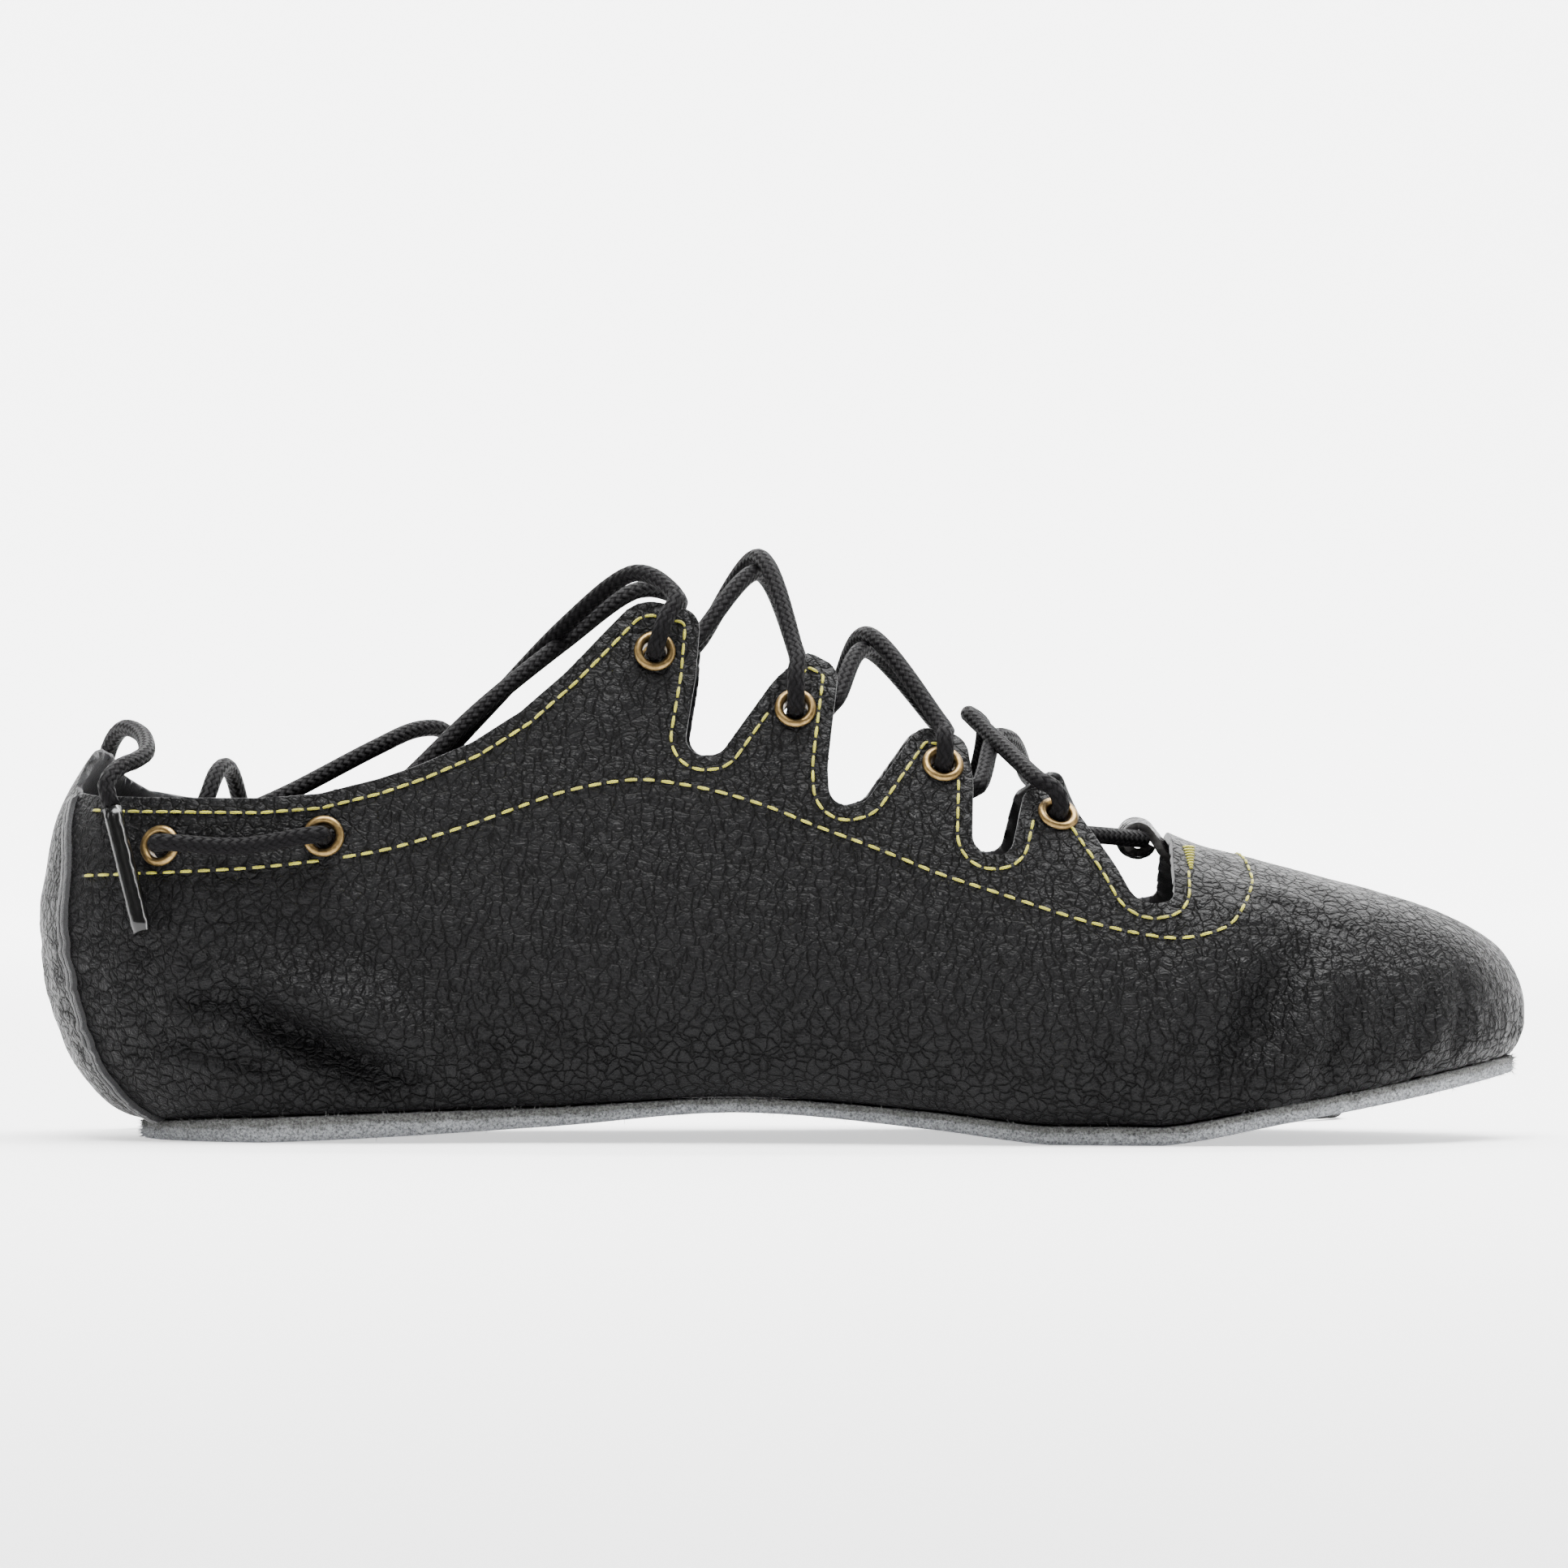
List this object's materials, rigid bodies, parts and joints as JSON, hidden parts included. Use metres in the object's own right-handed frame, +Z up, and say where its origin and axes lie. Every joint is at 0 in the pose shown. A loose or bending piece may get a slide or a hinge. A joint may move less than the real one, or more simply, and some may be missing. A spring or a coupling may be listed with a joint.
{
  "type": "ghillie dance shoe",
  "caption": "Soft black leather dance shoe, open over the instep, with lace tabs crossed by a long round lace and a thin grey suede sole.",
  "frame": {"origin": "on the floor, under the middle of the shoe's length and width", "axes": "+X towards the toe, +Z up, the inner side of the foot at -Y"},
  "size_m": [0.25, 0.1684, 0.0993],
  "materials": {
    "black_leather": "soft pebble grain, low sheen",
    "grey_suede": "suede, matt",
    "lining_board": "matt lining",
    "loop_leather": "smooth, low sheen",
    "antique_brass": "antique, satin",
    "black_braid": "round braid",
    "clear_tip": "clear film"
  },
  "bodies": {
    "root": {"upper": "black_leather", "outsole": "grey_suede", "insole": "lining_board", "toe_loop": "loop_leather", "eyelet_tab_1_near": "antique_brass", "eyelet_tab_2_near": "antique_brass", "eyelet_tab_3_near": "antique_brass", "eyelet_tab_4_near": "antique_brass", "eyelet_tab_1_far": "antique_brass", "eyelet_tab_2_far": "antique_brass", "eyelet_tab_3_far": "antique_brass", "eyelet_tab_4_far": "antique_brass", "eyelet_heel_front_near": "antique_brass", "eyelet_heel_rear_near": "antique_brass", "eyelet_heel_front_far": "antique_brass", "eyelet_heel_rear_far": "antique_brass", "lace_crossing_ankle": "black_braid", "lace_crossing_1": "black_braid", "lace_crossing_2": "black_braid", "lace_crossing_3": "black_braid", "lace_toe_run": "black_braid", "lace_bar_near": "black_braid", "lace_bar_far": "black_braid", "lace_end_near": "black_braid", "lace_end_far": "black_braid", "aglet_near": "clear_tip", "aglet_far": "clear_tip"}
  },
  "joints": []
}
